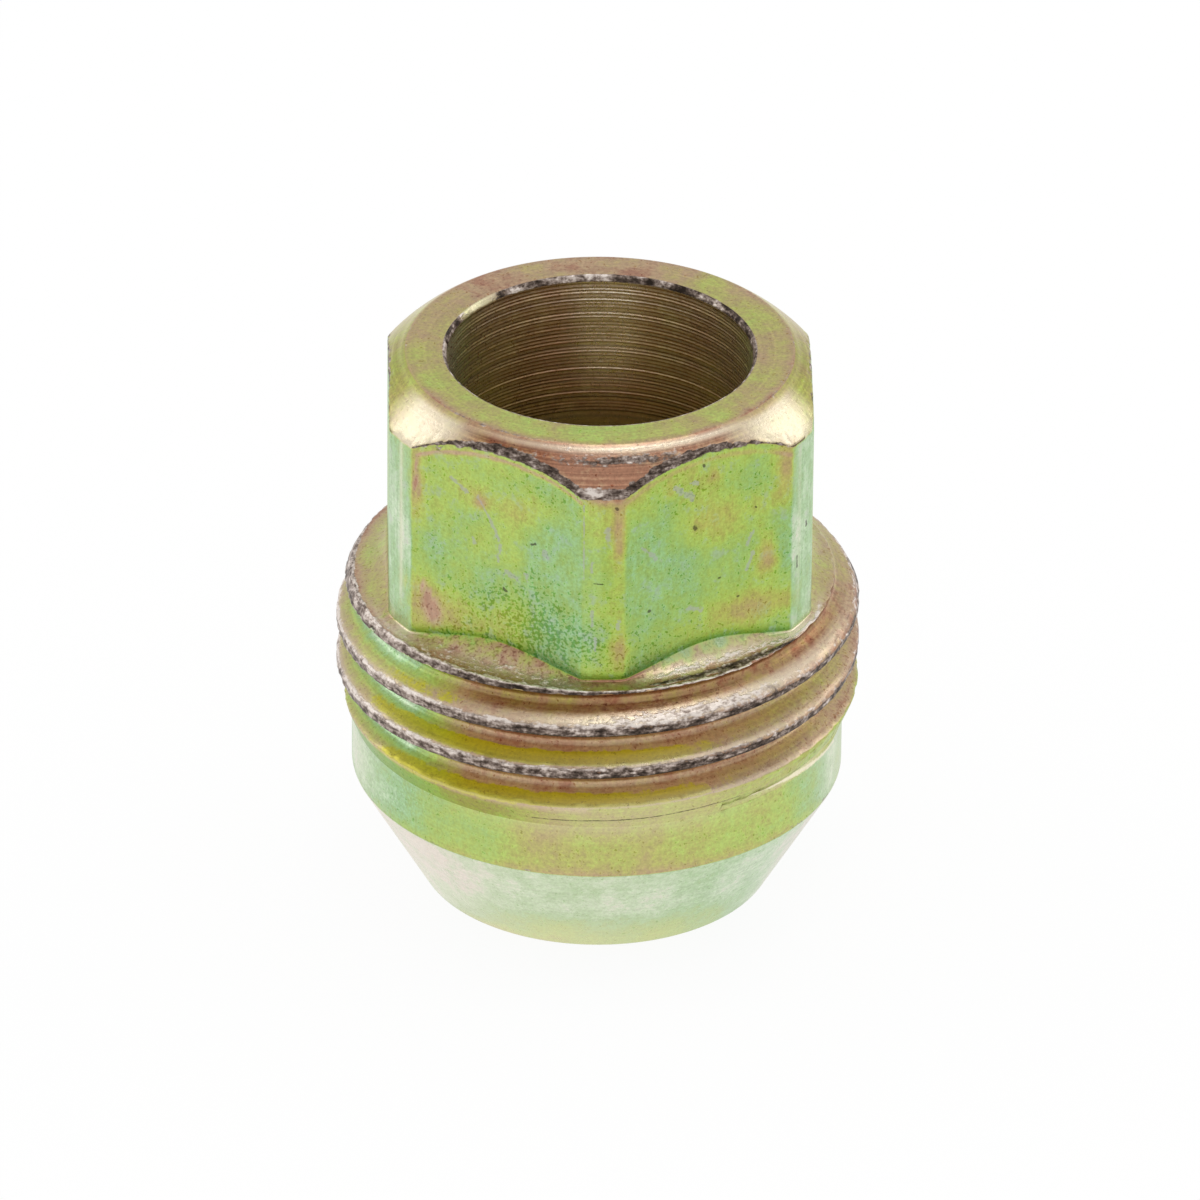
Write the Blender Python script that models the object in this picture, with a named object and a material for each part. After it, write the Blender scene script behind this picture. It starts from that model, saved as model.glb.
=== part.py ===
"""Open wheel lug nut: a crowned hexagon on a flange with a coarse outer cap thread and a
60 degree cone seat, one forged, turned and thread-rolled piece with a counterbored, tapped stud hole.

The origin is the centre of the seat end, +Z runs up the axis to the crowned end, and one corner
of the hexagon faces -Y. Lengths are in metres.
"""
import math

import bmesh
import bpy

MM = 0.001

# Hexagon
across_flats = 22.0 * MM            # wrench size
hexagon_height = 13.03 * MM         # from the flange's top to the crowned end
corner_stand_out = 1.1 * MM         # corner lands are turned this far outside the flats
crown_inset = 0.9 * MM              # the flat top ends this far inside the flats
crown_drop = 1.95 * MM              # height of the crown, from the flat top to a corner land
crown_radius = 7.7 * MM             # bulge of the turned crown

# Flange and its rolled outer thread, which holds a screw-on cap
thread_pitch = 2.5 * MM
thread_length = 8.18 * MM           # flange top to the plain band
thread_stand_out = 0.25 * MM        # the thread's root lies this far outside the corner lands
rim_chamfer_width = 0.75 * MM
rim_chamfer_height = 1.47 * MM
fillet_height = 1.03 * MM           # the hexagon's root fillet climbs the flats this far
first_groove_drop = 0.76 * MM       # groove centre below the flange's top, at the -Y corner
thread_foot_height = 2.0 * MM       # taper from the full thread down to the plain band
runout_turns = 0.75                 # the groove fades out over this part of a turn

# Plain band and cone seat
band_height = 3.0 * MM
seat_half_angle = math.radians(30.0)
seat_face_width = 1.9 * MM          # flat ring left round the stud hole at the seat end
seat_edge_radius = 0.4 * MM

# Stud hole
stud_diameter = 14.0 * MM
stud_pitch = 1.5 * MM
lead_in_clearance = 0.3 * MM        # the countersink opens this far past the stud
wall_at_flats = 3.05 * MM           # counterbore to wrench flat
counterbore_depth = 9.4 * MM
shoulder_slope = math.radians(30.0)
bore_rim_chamfer = 0.25 * MM

SIDES = 96                          # facets round every turned surface
STUD_SIDES = 24                     # facets round the tapped hole
ARC_STEPS = 5                       # facets along the crown and the fillet
EDGE_STEPS = 3                      # facets along the small rounded edge
ROOT_STEPS = 3                      # facets across the outer thread's rounded root
MARGIN = 0.5 * MM                   # cutters run this far past what they cut
CUTTER_CLEARANCE = 0.08             # of the pitch, from a crest to the back of its cutter

# Proportions of a 60 degree metric thread, as shares of its pitch
SHARP_HEIGHT = math.sqrt(3.0) / 2.0
ROOT_RADIUS = SHARP_HEIGHT / 6.0
FLANK_ANGLE = math.radians(30.0)
RIDGE_DEPTH = SHARP_HEIGHT * 5.0 / 8.0
PITCH_LINE_DEPTH = SHARP_HEIGHT * 3.0 / 8.0
TAP_ROOT_FLAT = 1.0 / 8.0

# Radii
flat_radius = across_flats / 2.0
land_radius = flat_radius + corner_stand_out
top_radius = flat_radius - crown_inset
root_radius = land_radius + thread_stand_out
crest_radius = root_radius + RIDGE_DEPTH * thread_pitch
band_radius = crest_radius - PITCH_LINE_DEPTH * thread_pitch
rim_radius = crest_radius - rim_chamfer_width
counterbore_radius = flat_radius - wall_at_flats
stud_bore_radius = stud_diameter / 2.0 - RIDGE_DEPTH * stud_pitch
lead_in_radius = stud_diameter / 2.0 + lead_in_clearance
seat_end_radius = lead_in_radius + seat_face_width

# Heights
seat_height = (band_radius - seat_end_radius) / math.tan(seat_half_angle)
band_top = seat_height + band_height
flange_top = band_top + thread_length
total_height = flange_top + hexagon_height
counterbore_floor = total_height - counterbore_depth


def clear_scene():
    for item in list(bpy.data.objects):
        bpy.data.objects.remove(item)


def arc_between(start, end, radius, steps):
    """Points from start to end on an arc of the given radius that bulges to the left of the way."""
    run, rise = end[0] - start[0], end[1] - start[1]
    chord = math.hypot(run, rise)
    half_turn = math.asin(chord / 2.0 / radius)
    reach = radius * math.cos(half_turn)
    centre = ((start[0] + end[0]) / 2.0 + rise / chord * reach,
              (start[1] + end[1]) / 2.0 - run / chord * reach)
    first = math.atan2(start[1] - centre[1], start[0] - centre[0])
    points = []
    for step in range(steps + 1):
        angle = first - 2.0 * half_turn * step / steps
        points.append((centre[0] + radius * math.cos(angle), centre[1] + radius * math.sin(angle)))
    return points


def rounded_corner(before, corner, after, radius, steps):
    """The corner of an outline that turns to the right, replaced by an arc of the given radius."""
    def unit(target):
        run, rise = target[0] - corner[0], target[1] - corner[1]
        length = math.hypot(run, rise)
        return run / length, rise / length
    back, ahead = unit(before), unit(after)
    opening = math.acos(back[0] * ahead[0] + back[1] * ahead[1])
    setback = radius / math.tan(opening / 2.0)
    start = (corner[0] + back[0] * setback, corner[1] + back[1] * setback)
    end = (corner[0] + ahead[0] * setback, corner[1] + ahead[1] * setback)
    return arc_between(start, end, radius, steps)


def turned(name, outline, sides=SIDES):
    """A solid of revolution about Z. Its outline starts on the axis at the top and runs down outside."""
    mesh = bpy.data.meshes.new(name)
    points = [(radius, 0.0, height) for radius, height in outline]
    mesh.from_pydata(points, [(i, i + 1) for i in range(len(points) - 1)], [])
    body = bpy.data.objects.new(name, mesh)
    bpy.context.collection.objects.link(body)
    screw = body.modifiers.new("Turn", "SCREW")
    screw.axis = "Z"
    screw.angle = math.tau
    screw.steps = sides
    screw.render_steps = sides
    screw.use_merge_vertices = True
    screw.merge_threshold = 0.000001
    return body


def swept(name, sections):
    """A closed solid skinned over a row of matching sections, capped at both ends."""
    shape = bmesh.new()
    rows = [[shape.verts.new(point) for point in section] for section in sections]
    count = len(rows[0])
    for row, following in zip(rows, rows[1:]):
        for i in range(count):
            j = (i + 1) % count
            shape.faces.new((row[i], row[j], following[j], following[i]))
    shape.faces.new(reversed(rows[0]))
    shape.faces.new(rows[-1])
    bmesh.ops.recalc_face_normals(shape, faces=shape.faces)
    mesh = bpy.data.meshes.new(name)
    shape.to_mesh(mesh)
    shape.free()
    body = bpy.data.objects.new(name, mesh)
    bpy.context.collection.objects.link(body)
    return body


def combine(body, operation, tool):
    """Joins, keeps or cuts away the tool's space. The tool stays in the file as a wire guide."""
    step = body.modifiers.new(tool.name, "BOOLEAN")
    step.operation = operation
    step.solver = "EXACT"
    step.object = tool
    tool.hide_render = True
    tool.display_type = "WIRE"


def make_hexagon():
    """The wrench hexagon: six flats between turned corner lands, under a turned crown."""
    foot = flange_top - rim_chamfer_height
    crown = arc_between((top_radius, total_height),
                        (land_radius, total_height - crown_drop), crown_radius, ARC_STEPS)
    hexagon = turned("hexagon", [(0.0, total_height), *crown, (land_radius, foot), (0.0, foot)])
    flats = bmesh.new()
    bmesh.ops.create_cone(flats, cap_ends=True, segments=6,
                          radius1=flat_radius / math.cos(math.pi / 6.0),
                          radius2=flat_radius / math.cos(math.pi / 6.0),
                          depth=total_height - foot + 2.0 * MARGIN)
    mesh = bpy.data.meshes.new("flats")
    flats.to_mesh(mesh)
    flats.free()
    prism = bpy.data.objects.new("flats", mesh)
    prism.location.z = (total_height + foot) / 2.0
    prism.rotation_euler.z = corner_turn(mesh)
    bpy.context.collection.objects.link(prism)
    combine(hexagon, "INTERSECT", prism)
    return hexagon


def corner_turn(mesh):
    """The turn about Z that brings the prism's first corner to -Y."""
    corner = mesh.vertices[0].co
    return -math.pi / 2.0 - math.atan2(corner.y, corner.x)


def make_flange():
    """The turned blank of flange, thread ridges, plain band and cone seat, without its hole."""
    run = rim_radius - flat_radius
    fillet_radius = (run ** 2 + fillet_height ** 2) / (2.0 * fillet_height)
    climb = math.asin(run / fillet_radius)
    fillet = []
    for step in range(ARC_STEPS, -1, -1):
        angle = climb * step / ARC_STEPS
        fillet.append((rim_radius - fillet_radius * math.sin(angle),
                       flange_top + fillet_radius * (1.0 - math.cos(angle))))
    buried = (fillet[0][0] - MARGIN * math.cos(climb), fillet[0][1] + MARGIN * math.sin(climb))
    seat_edge = rounded_corner((band_radius, seat_height), (seat_end_radius, 0.0), (0.0, 0.0),
                               seat_edge_radius, EDGE_STEPS)
    outline = [(0.0, buried[1]), buried, *fillet,
               (crest_radius, flange_top - rim_chamfer_height),
               (crest_radius, band_top + thread_foot_height),
               (band_radius, band_top),
               (band_radius, seat_height),
               *seat_edge,
               (0.0, 0.0)]
    return turned("lug_nut", outline)


def groove_section(turns, height, floor):
    """The groove's cross-section at a number of turns from the -Y corner, towards +X."""
    tip = ROOT_RADIUS * thread_pitch
    back = crest_radius + CUTTER_CLEARANCE * thread_pitch
    swing = math.pi / 2.0 - FLANK_ANGLE
    outline = []
    for step in range(ROOT_STEPS + 1):
        bend = swing * (2.0 * step / ROOT_STEPS - 1.0)
        outline.append((floor + tip * (1.0 - math.cos(bend)), tip * math.sin(bend)))
    flank = (back - outline[-1][0]) * math.tan(FLANK_ANGLE)
    outline.insert(0, (back, outline[0][1] - flank))
    outline.append((back, outline[-1][1] + flank))
    return set_on_helix(outline, turns, height)


def set_on_helix(outline, turns, height):
    """A thread cutter's outline, stood up at a number of turns from the -Y corner."""
    angle = math.tau * turns
    return [(radius * math.sin(angle), -radius * math.cos(angle), height + offset)
            for radius, offset in outline]


def make_thread_groove():
    """The right-hand outer thread's groove: open through the flange top, fading out at the band."""
    first = flange_top - first_groove_drop
    highest = (flange_top + thread_pitch / 2.0 - first) / thread_pitch
    lowest = (band_top - first) / thread_pitch
    faded = band_radius + CUTTER_CLEARANCE * thread_pitch / 4.0
    sections = []
    steps = round((highest - lowest) * SIDES)
    for step in range(steps + 1):
        turns = lowest + (highest - lowest) * step / steps
        fade = max(0.0, 1.0 - (turns - lowest) / runout_turns)
        sections.append(groove_section(turns, first + turns * thread_pitch,
                                       root_radius + (faded - root_radius) * fade))
    return swept("thread_groove", sections)


def make_stud_hole():
    """The stud hole at its thread's inner diameter, with a 45 degree lead-in at the seat end."""
    lead_in_depth = lead_in_radius - stud_bore_radius
    return turned("stud_hole", [(0.0, total_height + MARGIN),
                                (stud_bore_radius, total_height + MARGIN),
                                (stud_bore_radius, lead_in_depth),
                                (lead_in_radius + MARGIN, -MARGIN),
                                (0.0, -MARGIN)], STUD_SIDES)


def make_stud_thread():
    """The tapped right-hand groove, from below the seat end to above the counterbore's floor."""
    root = stud_diameter / 2.0
    back = stud_bore_radius - CUTTER_CLEARANCE * stud_pitch
    flat = TAP_ROOT_FLAT * stud_pitch / 2.0
    mouth = flat + (root - back) * math.tan(FLANK_ANGLE)
    outline = [(back, -mouth), (root, -flat), (root, flat), (back, mouth)]
    last = math.ceil(counterbore_floor / stud_pitch) + 1
    sections = []
    for step in range((last + 1) * STUD_SIDES + 1):
        turns = step / STUD_SIDES - 1.0
        sections.append(set_on_helix(outline, turns, turns * stud_pitch))
    return swept("stud_thread", sections)


def make_counterbore():
    """The wide upper bore, with a broken edge at its mouth and a sloping floor."""
    mouth = counterbore_radius + bore_rim_chamfer
    return turned("counterbore", [(0.0, total_height + MARGIN),
                                  (mouth + MARGIN, total_height + MARGIN),
                                  (counterbore_radius, total_height - bore_rim_chamfer),
                                  (counterbore_radius, counterbore_floor),
                                  (0.0, counterbore_floor - counterbore_radius
                                   * math.tan(shoulder_slope))])


def make_plating():
    """Iridescent yellow zinc plating over steel."""
    material = bpy.data.materials.new("yellow_zinc_plating")
    material.use_nodes = True
    shader = material.node_tree.nodes["Principled BSDF"]
    shader.inputs["Base Color"].default_value = (0.56, 0.60, 0.24, 1.0)
    shader.inputs["Metallic"].default_value = 1.0
    shader.inputs["Roughness"].default_value = 0.35
    return material


def settle(body, material):
    """Writes the finished surface back to the mesh, smooth but for its real edges."""
    view = bpy.context.evaluated_depsgraph_get()
    body.data = bpy.data.meshes.new_from_object(body.evaluated_get(view))
    body.modifiers.clear()
    body.data.materials.clear()
    body.data.materials.append(material)
    body.data.shade_smooth()
    body.data.set_sharp_from_angle(angle=math.radians(25.0))


def main():
    clear_scene()
    lug_nut = make_flange()
    combine(lug_nut, "UNION", make_hexagon())
    combine(lug_nut, "DIFFERENCE", make_thread_groove())
    combine(lug_nut, "DIFFERENCE", make_stud_hole())
    combine(lug_nut, "DIFFERENCE", make_counterbore())
    combine(lug_nut, "DIFFERENCE", make_stud_thread())
    settle(lug_nut, make_plating())


main()
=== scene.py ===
"""Looks of an open wheel lug nut in iridescent yellow zinc plating.

One finished shell stands for the solid nut: the crowned hexagon with its flats and corner lands,
the flange with the rolled cap thread, the plain band, the cone seat, the counterbore with its
tool marks and the tapped stud hole. Its edges are chipped in the mesh itself, and the plating's
colour bands, rubbed places and chips are painted on the points and finished in the material,
together with painted highlights on some edges and flanks and painted shade in some creases and
in the counterbore.
Lengths in the shape code are in millimetres. Angles run from the -Y corner towards +X.
"""
import math
import random

import bpy
import numpy as np
from mathutils import Matrix, Vector, noise


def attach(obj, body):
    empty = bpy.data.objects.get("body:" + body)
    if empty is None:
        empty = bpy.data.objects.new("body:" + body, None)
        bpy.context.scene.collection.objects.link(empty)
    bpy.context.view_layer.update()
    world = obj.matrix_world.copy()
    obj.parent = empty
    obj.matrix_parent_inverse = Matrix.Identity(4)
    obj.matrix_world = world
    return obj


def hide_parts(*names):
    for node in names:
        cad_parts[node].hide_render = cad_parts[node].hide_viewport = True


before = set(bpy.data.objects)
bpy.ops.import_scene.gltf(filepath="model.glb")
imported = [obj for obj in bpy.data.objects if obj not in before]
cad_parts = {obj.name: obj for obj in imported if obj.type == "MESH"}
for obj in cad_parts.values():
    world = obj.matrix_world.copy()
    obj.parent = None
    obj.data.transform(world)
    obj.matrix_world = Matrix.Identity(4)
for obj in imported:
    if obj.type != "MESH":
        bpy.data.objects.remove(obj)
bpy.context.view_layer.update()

MM = 0.001

# Hexagon, as in the part's source
FLAT_RADIUS = 11.0
LAND_RADIUS = 12.1
TOP_RADIUS = 10.1
CROWN_DROP = 1.95
CROWN_RADIUS = 7.7
HEXAGON_HEIGHT = 13.03
FACE_TURN = math.radians(60.0)
LAND_HALF_TURN = math.pi / 6.0 - math.acos(FLAT_RADIUS / LAND_RADIUS)
FLAT_HALF_WIDTH = math.sqrt(LAND_RADIUS ** 2 - FLAT_RADIUS ** 2)
CORNER_BLEND = 0.12
EDGE_ROUNDING = 0.1

# Outer thread, rolled for a screw-on cap
PITCH = 2.5
ROOT_RADIUS = 12.35
SHARP_HEIGHT = math.sqrt(3.0) / 2.0 * PITCH
CREST_RADIUS = ROOT_RADIUS + SHARP_HEIGHT * 5.0 / 8.0
BAND_RADIUS = CREST_RADIUS - SHARP_HEIGHT * 3.0 / 8.0
ROOT_ARC = SHARP_HEIGHT / 6.0
ROOT_SWING = math.radians(60.0)
ROOT_REACH = ROOT_ARC * math.sin(ROOT_SWING)
FLANK_SLOPE = math.tan(math.radians(30.0))
RUNOUT_TURNS = 0.75
RUNOUT_RADIUS = BAND_RADIUS + 0.05
CREST_BLEND = 0.10
SHALLOWEST_GROOVE = 0.07

# Plain band and cone seat
SEAT_END_RADIUS = 9.2
SEAT_EDGE_START = 8.969
SEAT_EDGE_ROUNDING = 0.4
SEAT_SLOPE = math.tan(math.radians(30.0))
SEAT_HEIGHT = (BAND_RADIUS - SEAT_END_RADIUS) / SEAT_SLOPE
BAND_TOP = SEAT_HEIGHT + 3.0
FOOT_TOP = BAND_TOP + 2.0

# Flange and the hexagon's root fillet
FLANGE_TOP = BAND_TOP + 8.18
RIM_RADIUS = CREST_RADIUS - 0.75
RIM_LOW = FLANGE_TOP - 1.47
FIRST_GROOVE = FLANGE_TOP - 0.76
LOWEST_TURN = (BAND_TOP - FIRST_GROOVE) / PITCH
FILLET_RUN = RIM_RADIUS - FLAT_RADIUS
FILLET_CLIMB = 1.03
FILLET_RADIUS = (FILLET_RUN ** 2 + FILLET_CLIMB ** 2) / (2.0 * FILLET_CLIMB)
TOTAL_HEIGHT = FLANGE_TOP + HEXAGON_HEIGHT

# Stud hole
COUNTERBORE_RADIUS = 7.95
BORE_MOUTH = 0.16
MOUTH_DROP = 0.28
COUNTERBORE_FLOOR = TOTAL_HEIGHT - 9.4
SHOULDER_SLOPE = math.tan(math.radians(30.0))
STUD_PITCH = 1.5
STUD_SHARP = math.sqrt(3.0) / 2.0 * STUD_PITCH
STUD_RADIUS = 7.0
STUD_BORE = STUD_RADIUS - STUD_SHARP * 5.0 / 8.0
STUD_ROWS = (-0.62, -0.56, -0.34, -0.12, 0.0, 0.12, 0.34, 0.56, 0.62)
SHOULDER_FOOT_RADIUS = 6.9
LEAD_IN_RADIUS = 7.3
TOOL_MARK_PITCH = 0.205
TOOL_MARKS = 38


def between(first, last, share):
    return first + (last - first) * share


def smooth_min(first, second, blend):
    """The smaller of two radii, with the corner where they cross rounded over."""
    near = max(blend - abs(first - second), 0.0) / blend
    return min(first, second) - near * near * blend * 0.25


def crown_centre():
    """Centre of the crown's arc, through the flat top's edge and the top of a corner land."""
    start = (TOP_RADIUS, TOTAL_HEIGHT)
    end = (LAND_RADIUS, TOTAL_HEIGHT - CROWN_DROP)
    run, rise = end[0] - start[0], end[1] - start[1]
    chord = math.hypot(run, rise)
    reach = math.sqrt(CROWN_RADIUS ** 2 - chord ** 2 / 4.0)
    return ((start[0] + end[0]) / 2.0 + rise / chord * reach,
            (start[1] + end[1]) / 2.0 - run / chord * reach)


CROWN_CENTRE = crown_centre()


def crown_height(radius):
    return CROWN_CENTRE[1] + np.sqrt(CROWN_RADIUS ** 2 - (radius - CROWN_CENTRE[0]) ** 2)


def wall_radius(angle):
    """The hexagon's wall: wrench flats between turned corner lands. A corner is at angle 0."""
    turn = angle % FACE_TURN - FACE_TURN / 2.0
    return smooth_min(FLAT_RADIUS / math.cos(turn), LAND_RADIUS, CORNER_BLEND)


def fillet_height(radius):
    """Height of the flange's top, which sweeps up into the hexagon's root."""
    inward = np.maximum(RIM_RADIUS - radius, 0.0)
    return FLANGE_TOP + FILLET_RADIUS - np.sqrt(FILLET_RADIUS ** 2 - inward ** 2)


def blank_radius(height):
    """The flange blank before its thread is rolled."""
    if height <= BAND_TOP:
        return BAND_RADIUS
    if height < FOOT_TOP:
        return between(BAND_RADIUS, CREST_RADIUS, (height - BAND_TOP) / (FOOT_TOP - BAND_TOP))
    if height <= RIM_LOW:
        return CREST_RADIUS
    return between(CREST_RADIUS, RIM_RADIUS, (height - RIM_LOW) / (FLANGE_TOP - RIM_LOW))


def groove_radius(turns, offset):
    """Radius of the thread groove at a height offset from its centre line."""
    fade = max(0.0, 1.0 - (turns - LOWEST_TURN) / RUNOUT_TURNS)
    floor = between(ROOT_RADIUS, RUNOUT_RADIUS, fade)
    reach = abs(offset)
    if reach <= ROOT_REACH:
        return floor + ROOT_ARC - math.sqrt(ROOT_ARC ** 2 - reach ** 2)
    return floor + ROOT_ARC * (1.0 - math.cos(ROOT_SWING)) + (reach - ROOT_REACH) / FLANK_SLOPE


def groove_at(share, height):
    """The nearest groove's number and the height offset from its centre."""
    number = round((height - FIRST_GROOVE) / PITCH - share)
    return number, height - FIRST_GROOVE - PITCH * (share + number)


def thread_radius(share, height):
    """Radius of the rolled thread at a share of a turn from the -Y corner."""
    number, offset = groove_at(share, height)
    radius = blank_radius(height)
    if share + number >= LOWEST_TURN:
        radius = smooth_min(radius, groove_radius(share + number, offset), CREST_BLEND)
    return radius


def groove_edge(share, number, side):
    """Height offset at which the groove breaks out through the blank, above or below."""
    turns = share + number
    centre = FIRST_GROOVE + PITCH * turns
    inner, outer = 0.0, PITCH / 2.0
    if groove_radius(turns, 0.0) >= blank_radius(centre):
        return None
    for _ in range(24):
        middle = (inner + outer) / 2.0
        if groove_radius(turns, middle) < blank_radius(centre + side * middle):
            inner = middle
        else:
            outer = middle
    return side * inner


def thread_rows(share):
    """Heights of one column's rows over the thread. A row keeps its label along the helix."""
    rows = []
    for number in range(-4, 2):
        turns = share + number
        if turns < LOWEST_TURN:
            continue
        low, high = groove_edge(share, number, -1), groove_edge(share, number, 1)
        if low is None or min(high, -low) < SHALLOWEST_GROOVE:
            continue
        centre = FIRST_GROOVE + PITCH * turns
        root = min(ROOT_REACH, 0.6 * high, -0.6 * low)
        near = min(0.05, 0.14 * (-root - low), 0.14 * (high - root))
        spots = [low - near, low, low + near, between(low, -root, 0.28), between(low, -root, 0.52),
                 between(low, -root, 0.76), -root, -root * 0.6, 0.0, root * 0.6, root,
                 between(high, root, 0.5), high - near, high, high + near]
        upper = groove_edge(share, number + 1, -1)
        crest = PITCH - high + upper if upper is not None else PITCH - 2.0 * high
        spots += [high + crest * step for step in (0.3, 0.5, 0.7)]
        for place, spot in enumerate(spots):
            rows.append((("groove", number, place), centre + spot))
    rows = [row for row in rows if row[1] > BAND_TOP + 0.03]
    kept = [height for _, height in rows]
    for label, height in [("foot", BAND_TOP + 0.03), ("foot_low", BAND_TOP + 0.35),
                          ("foot_mid", BAND_TOP + 0.9), ("foot_high", BAND_TOP + 1.45),
                          ("foot_top", FOOT_TOP), ("rim_low", RIM_LOW),
                          ("rim_mid", RIM_LOW + 0.5), ("rim_high", RIM_LOW + 1.0)]:
        number, offset = groove_at(share, height)
        exposed = (share + number < LOWEST_TURN
                   or groove_radius(share + number, offset) > blank_radius(height) + 0.02)
        if exposed and all(abs(height - other) > 0.02 for other in kept):
            rows.append((("thread", label), height))
    return sorted(rows, key=lambda row: row[1])


def rim_edge(share):
    """The flange rim's top edge, where the thread side meets the fillet."""
    radius = RIM_RADIUS
    for _ in range(8):
        radius = min(RIM_RADIUS, thread_radius(share, fillet_height(radius)))
    return radius, fillet_height(radius)


# Rows of the hexagon's wall: near its root, up its height, and below the scalloped edge
ROOT_GAPS = (0.09, 0.22, 0.4, 0.65)
EDGE_GAPS = (0.9, 0.72, 0.58, 0.46, 0.34, 0.22)
WALL_STEPS = 17


def wall_heights(low, high):
    """Heights of one column's rows up the wall, from the root to the scalloped edge."""
    first, last = low + ROOT_GAPS[-1], high - EDGE_ROUNDING - EDGE_GAPS[0]
    middle = [between(first, last, step / WALL_STEPS) for step in range(1, WALL_STEPS)]
    return ([low + gap for gap in ROOT_GAPS] + middle
            + [high - EDGE_ROUNDING - gap for gap in EDGE_GAPS])


def outer_column(angle):
    """One column up the outside: label, radius, height and place on the unrolled skin."""
    share = angle / math.tau
    wall = wall_radius(angle)
    column = [(("seat", 1), 8.1, 0.0, 2.0), (("seat", 2), 8.75, 0.0, 10.0)]
    for step in range(5):
        swing = math.radians(60.0) * step / 4.0
        column.append((("seat_edge", step),
                       SEAT_EDGE_START + SEAT_EDGE_ROUNDING * math.sin(swing),
                       SEAT_EDGE_ROUNDING * (1.0 - math.cos(swing)), 14.0 + 2.0 * step))
    for step in range(1, 12):
        height = between(0.2, SEAT_HEIGHT - 0.06, step / 11.0)
        column.append((("cone", step), SEAT_END_RADIUS + height * SEAT_SLOPE, height,
                       between(22.0, 104.0, step / 11.0)))
    column.append((("cone", "top"), BAND_RADIUS - 0.012, SEAT_HEIGHT, 106.0))
    for step in range(6):
        height = between(SEAT_HEIGHT + 0.06, BAND_TOP, step / 5.0)
        column.append((("band", step), BAND_RADIUS, height, between(108.0, 146.0, step / 5.0)))
    edge_radius, edge_height = rim_edge(share)
    top = edge_height - EDGE_ROUNDING
    rows = [(label, height) for label, height in thread_rows(share) if height < top - 0.03]
    rows.append((("thread", "rim_side"), top))
    for label, height in rows:
        column.append((label, thread_radius(share, height), height,
                       between(146.0, 340.0, (height - BAND_TOP) / (FLANGE_TOP + 0.1 - BAND_TOP))))
    side = thread_radius(share, top)
    inner = edge_radius - EDGE_ROUNDING
    column.append((("fillet", "edge"), between((side + inner) / 2.0, edge_radius, 0.55),
                   between((top + fillet_height(inner)) / 2.0, edge_height, 0.55), 343.0))
    for step in range(9):
        radius = between(inner, wall, step / 8.0)
        column.append((("fillet", step), radius, fillet_height(radius),
                       between(346.0, 384.0, step / 8.0)))
    low, high = fillet_height(wall), crown_height(wall)
    for place, height in enumerate(wall_heights(low, high)):
        column.append((("wall", place), wall, height,
                       between(386.0, 540.0, (height - low) / (high - low))))
    inside, top = wall - EDGE_ROUNDING, high - EDGE_ROUNDING
    column.append((("wall", "top"), wall, top, 543.0))
    column.append((("crown", "edge"), between(inside, wall, 0.76),
                   between((top + crown_height(inside)) / 2.0, high, 0.5), 546.0))
    column.append((("crown", "side"), inside, crown_height(inside), 549.0))
    for step in range(1, 11):
        radius = between(inside, TOP_RADIUS + 0.08, step / 10.0)
        column.append((("crown", step), radius, crown_height(radius),
                       between(549.0, 600.0, step / 10.0)))
    column.append((("top", "edge"), TOP_RADIUS, TOTAL_HEIGHT - 0.012, 603.0))
    for step in range(6):
        radius = between(TOP_RADIUS - 0.08, COUNTERBORE_RADIUS + BORE_MOUTH + 0.1, step / 5.0)
        column.append((("top", step), radius, TOTAL_HEIGHT, between(606.0, 640.0, step / 5.0)))
    return column


def stud_thread_radius(share, height):
    """Radius of the tapped stud hole, between its shoulder and its lead-in."""
    offset = abs((height / STUD_PITCH - share + 0.5) % 1.0 - 0.5) * STUD_PITCH
    root = STUD_PITCH / 16.0 + 0.03
    radius = STUD_RADIUS - max(offset - root, 0.0) / FLANK_SLOPE
    radius = max(radius, STUD_BORE)
    lead_in = LEAD_IN_RADIUS - height
    shoulder = COUNTERBORE_RADIUS - (COUNTERBORE_FLOOR - height) / SHOULDER_SLOPE
    return max(radius, lead_in, shoulder)


def tool_marks():
    """Start below the mouth and depth of each ring that the boring tool left."""
    chance = random.Random(11)
    return [(TOOL_MARK_PITCH * (mark + chance.uniform(-0.05, 0.05)), chance.uniform(0.026, 0.044))
            for mark in range(TOOL_MARKS)]


MARKS = tool_marks()


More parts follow.
